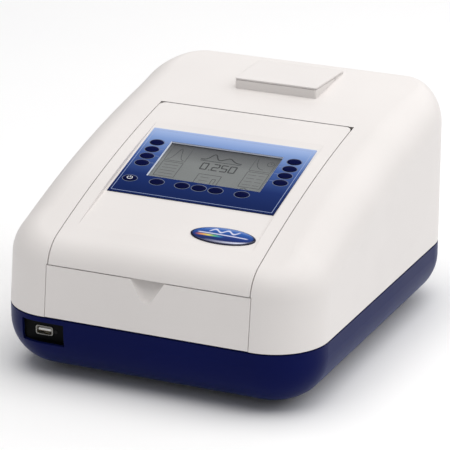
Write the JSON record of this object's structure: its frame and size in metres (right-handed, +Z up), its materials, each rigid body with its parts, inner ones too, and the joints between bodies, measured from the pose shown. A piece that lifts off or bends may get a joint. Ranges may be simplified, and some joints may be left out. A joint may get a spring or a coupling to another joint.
{
  "type": "spectrophotometer",
  "caption": "Bench-top spectrophotometer with a hinged lid carrying the display and keypad over a cuvette chamber, USB bay, roof printer bay and rear sockets.",
  "frame": {"origin": "on the table, under the middle of the case", "axes": "+Z up, -Y towards the user at the front, +X to the user's right"},
  "size_m": [0.275, 0.334, 0.1898],
  "materials": {
    "white_casing": "satin, fine spark texture",
    "blue_casing": "satin",
    "dark_grey_plastic": "matt",
    "black_rubber": "matt",
    "zinc_screws": "zinc plated",
    "black_plastic": "matt",
    "nickel": "nickel plated",
    "socket_insert": "satin",
    "indicator_lens": "gloss",
    "black_anodised": "black anodised",
    "clear_glass": "clear",
    "cast_aluminium": "cast",
    "blackened_steel": "matt black",
    "mirror_glass": "front surface mirror",
    "green_board": "solder mask",
    "pressed_steel": "plated",
    "brass_gear": "machined",
    "filter_glass": "coloured",
    "black_foam": "foam",
    "blue_membrane": "satin printed film",
    "lcd_glass": "display glass",
    "badge_blue": "domed resin",
    "key_navy": "satin"
  },
  "bodies": {
    "case": {"base_tub": "blue_casing", "top_cover": "white_casing", "front_panel": "white_casing", "inner_deck": "dark_grey_plastic", "rubber_feet": "black_rubber", "case_screws": "zinc_screws", "usb_bay_liner": "black_plastic", "usb_socket_shell": "nickel", "usb_socket_tongue": "socket_insert", "usb_lamp": "indicator_lens", "sample_chamber": "black_plastic", "cuvette_holder": "black_anodised", "chamber_lenses": "clear_glass", "optical_bench": "cast_aluminium", "lamp_housing": "black_anodised", "lamp_bulb": "clear_glass", "slit_plates": "blackened_steel", "fold_mirror": "mirror_glass", "detector_board": "green_board", "photodiode": "nickel", "main_board": "green_board", "power_module": "pressed_steel", "stepper_motors": "pressed_steel", "printer_bay_tray": "black_plastic", "rear_plate": "pressed_steel", "data_sockets": "nickel", "dc_jack": "black_plastic", "switch_housing": "black_plastic", "fan_frame": "black_plastic", "hinge_pins": "pressed_steel"},
    "lid": {"lid_shell": "white_casing", "lid_inner_panel": "dark_grey_plastic", "lid_light_seal": "black_foam", "keypad_overlay": "blue_membrane", "keypad_board": "green_board", "lcd_window": "clear_glass", "lcd_module": "lcd_glass", "lid_badge": "badge_blue"},
    "printer_bay_cover": {"printer_bay_cover": "white_casing"},
    "grating_table": {"grating_table": "cast_aluminium", "diffraction_grating": "mirror_glass"},
    "grating_pinion": {"grating_pinion": "brass_gear"},
    "filter_wheel": {"filter_wheel": "black_anodised", "order_filters": "filter_glass"},
    "fan_rotor": {"fan_rotor": "black_plastic"},
    "power_rocker": {"power_rocker": "black_plastic"},
    "key_left_1": {"key_left_1": "key_navy"},
    "key_left_2": {"key_left_2": "key_navy"},
    "key_left_3": {"key_left_3": "key_navy"},
    "key_left_4": {"key_left_4": "key_navy"},
    "key_right_1": {"key_right_1": "key_navy"},
    "key_right_2": {"key_right_2": "key_navy"},
    "key_right_3": {"key_right_3": "key_navy"},
    "key_right_4": {"key_right_4": "key_navy"},
    "key_lower_1": {"key_lower_1": "key_navy"},
    "key_lower_2": {"key_lower_2": "key_navy"},
    "key_lower_3": {"key_lower_3": "key_navy"},
    "key_lower_4": {"key_lower_4": "key_navy"},
    "key_lower_5": {"key_lower_5": "key_navy"},
    "key_power": {"key_power": "key_navy"}
  },
  "joints": [
    {"name": "lid_hinge", "type": "hinge", "parent": "case", "child": "lid", "pos_m": [0, 0.044, 0.1667], "axis": [-1, 0, 0], "range_deg": [0, 75]},
    {"name": "key_left_1_press", "type": "slide", "parent": "lid", "child": "key_left_1", "axis": [0, 0.2842, -0.9588], "range_m": [0, 0.0008], "stiffness_N_per_m": 600, "springref_m": -0.0006},
    {"name": "key_left_2_press", "type": "slide", "parent": "lid", "child": "key_left_2", "axis": [0, 0.2842, -0.9588], "range_m": [0, 0.0008], "stiffness_N_per_m": 600, "springref_m": -0.0006},
    {"name": "key_left_3_press", "type": "slide", "parent": "lid", "child": "key_left_3", "axis": [0, 0.2842, -0.9588], "range_m": [0, 0.0008], "stiffness_N_per_m": 600, "springref_m": -0.0006},
    {"name": "key_left_4_press", "type": "slide", "parent": "lid", "child": "key_left_4", "axis": [0, 0.2842, -0.9588], "range_m": [0, 0.0008], "stiffness_N_per_m": 600, "springref_m": -0.0006},
    {"name": "key_right_1_press", "type": "slide", "parent": "lid", "child": "key_right_1", "axis": [0, 0.2842, -0.9588], "range_m": [0, 0.0008], "stiffness_N_per_m": 600, "springref_m": -0.0006},
    {"name": "key_right_2_press", "type": "slide", "parent": "lid", "child": "key_right_2", "axis": [0, 0.2842, -0.9588], "range_m": [0, 0.0008], "stiffness_N_per_m": 600, "springref_m": -0.0006},
    {"name": "key_right_3_press", "type": "slide", "parent": "lid", "child": "key_right_3", "axis": [0, 0.2842, -0.9588], "range_m": [0, 0.0008], "stiffness_N_per_m": 600, "springref_m": -0.0006},
    {"name": "key_right_4_press", "type": "slide", "parent": "lid", "child": "key_right_4", "axis": [0, 0.2842, -0.9588], "range_m": [0, 0.0008], "stiffness_N_per_m": 600, "springref_m": -0.0006},
    {"name": "key_lower_1_press", "type": "slide", "parent": "lid", "child": "key_lower_1", "axis": [0, 0.2842, -0.9588], "range_m": [0, 0.0008], "stiffness_N_per_m": 600, "springref_m": -0.0006},
    {"name": "key_lower_2_press", "type": "slide", "parent": "lid", "child": "key_lower_2", "axis": [0, 0.2842, -0.9588], "range_m": [0, 0.0008], "stiffness_N_per_m": 600, "springref_m": -0.0006},
    {"name": "key_lower_3_press", "type": "slide", "parent": "lid", "child": "key_lower_3", "axis": [0, 0.2842, -0.9588], "range_m": [0, 0.0008], "stiffness_N_per_m": 600, "springref_m": -0.0006},
    {"name": "key_lower_4_press", "type": "slide", "parent": "lid", "child": "key_lower_4", "axis": [0, 0.2842, -0.9588], "range_m": [0, 0.0008], "stiffness_N_per_m": 600, "springref_m": -0.0006},
    {"name": "key_lower_5_press", "type": "slide", "parent": "lid", "child": "key_lower_5", "axis": [0, 0.2842, -0.9588], "range_m": [0, 0.0008], "stiffness_N_per_m": 600, "springref_m": -0.0006},
    {"name": "key_power_press", "type": "slide", "parent": "lid", "child": "key_power", "axis": [0, 0.2842, -0.9588], "range_m": [0, 0.0008], "stiffness_N_per_m": 600, "springref_m": -0.0006},
    {"name": "bay_cover_lift", "type": "slide", "parent": "case", "child": "printer_bay_cover", "axis": [0, 0, 1], "range_m": [0, 0.03]},
    {"name": "grating_turn", "type": "hinge", "parent": "case", "child": "grating_table", "pos_m": [-0.078, 0.095, 0.044], "axis": [0, 0, 1], "range_deg": [-15, 20]},
    {"name": "pinion_turn", "type": "hinge", "parent": "case", "child": "grating_pinion", "pos_m": [-0.042, 0.095, 0.043], "axis": [0, 0, 1], "range_deg": [-80, 60]},
    {"name": "filter_wheel_turn", "type": "hinge", "parent": "case", "child": "filter_wheel", "pos_m": [-0.092, -0.062, 0.062], "axis": [0, 1, 0], "continuous": true},
    {"name": "fan_spin", "type": "hinge", "parent": "case", "child": "fan_rotor", "pos_m": [0.062, 0.156, 0.087], "axis": [0, 1, 0], "continuous": true},
    {"name": "power_rocker_tip", "type": "hinge", "parent": "case", "child": "power_rocker", "pos_m": [-0.07, 0.159, 0.087], "axis": [-1, 0, 0], "range_deg": [0, 16]}
  ],
  "couplings": [
    {"joint": "pinion_turn", "follows": "grating_turn", "ratio": -4}
  ]
}
